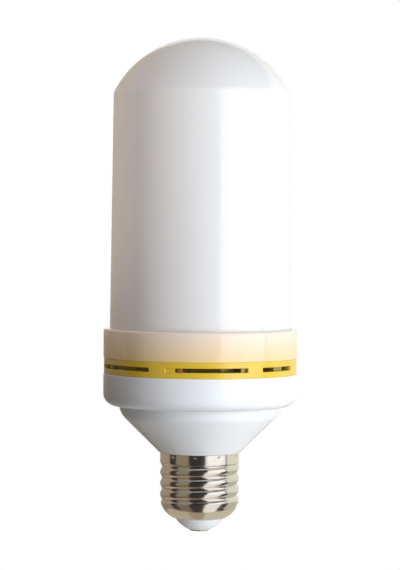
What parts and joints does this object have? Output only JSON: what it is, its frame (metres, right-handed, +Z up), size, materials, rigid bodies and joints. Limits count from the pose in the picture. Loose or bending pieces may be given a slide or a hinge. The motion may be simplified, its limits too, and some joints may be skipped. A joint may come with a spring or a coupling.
{
  "type": "flame effect led bulb",
  "caption": "Flame effect LED bulb with a tall opal diffuser, slotted yellow vent ring, cup-and-cone base and rounded-thread screw cap.",
  "frame": {"origin": "tip of the centre contact, on the bulb's axis", "axes": "+Z up the bulb's axis from the cap to the dome, -Y the side that the picture shows"},
  "size_m": [0.064, 0.064, 0.1625],
  "materials": {
    "opal_diffuser": "milky opal, smooth and glossy",
    "cream_collar": "cream, slightly translucent, smooth",
    "yellow_ring": "warm yellow, smooth",
    "white_housing": "white, smooth and glossy",
    "plated_shell": "nickel plate, bright and slightly warm",
    "white_insulator": "white, glossy",
    "plated_contact": "plated brass",
    "white_inner": "white moulding",
    "flex_board": "white solder mask",
    "green_board": "green solder mask",
    "black_chip": "black moulding",
    "component_can": "plain can",
    "component_sleeve": "dark sleeve",
    "ferrite": "dark grey ferrite",
    "winding_tape": "yellow tape",
    "red_wire": "red insulation",
    "black_wire": "black insulation"
  },
  "bodies": {
    "root": {"diffuser": "opal_diffuser", "collar_ring": "cream_collar", "vent_ring": "yellow_ring", "base_housing": "white_housing", "screw_shell": "plated_shell", "cap_insulator": "white_insulator", "centre_contact": "plated_contact", "led_carrier": "white_inner", "core_cap": "white_inner", "led_flex_board": "flex_board", "control_board": "green_board", "driver_board": "green_board", "microcontroller": "black_chip", "shift_register_1": "black_chip", "shift_register_2": "black_chip", "driver_ic": "black_chip", "bridge_rectifier": "black_chip", "tilt_switch": "component_can", "bulk_capacitor": "component_can", "output_capacitor": "component_can", "line_fuse": "component_sleeve", "line_inductor": "component_sleeve", "transformer_core": "ferrite", "transformer_winding": "winding_tape", "live_wire": "red_wire", "neutral_wire": "black_wire", "supply_wire_positive": "red_wire", "supply_wire_negative": "black_wire"}
  },
  "joints": []
}
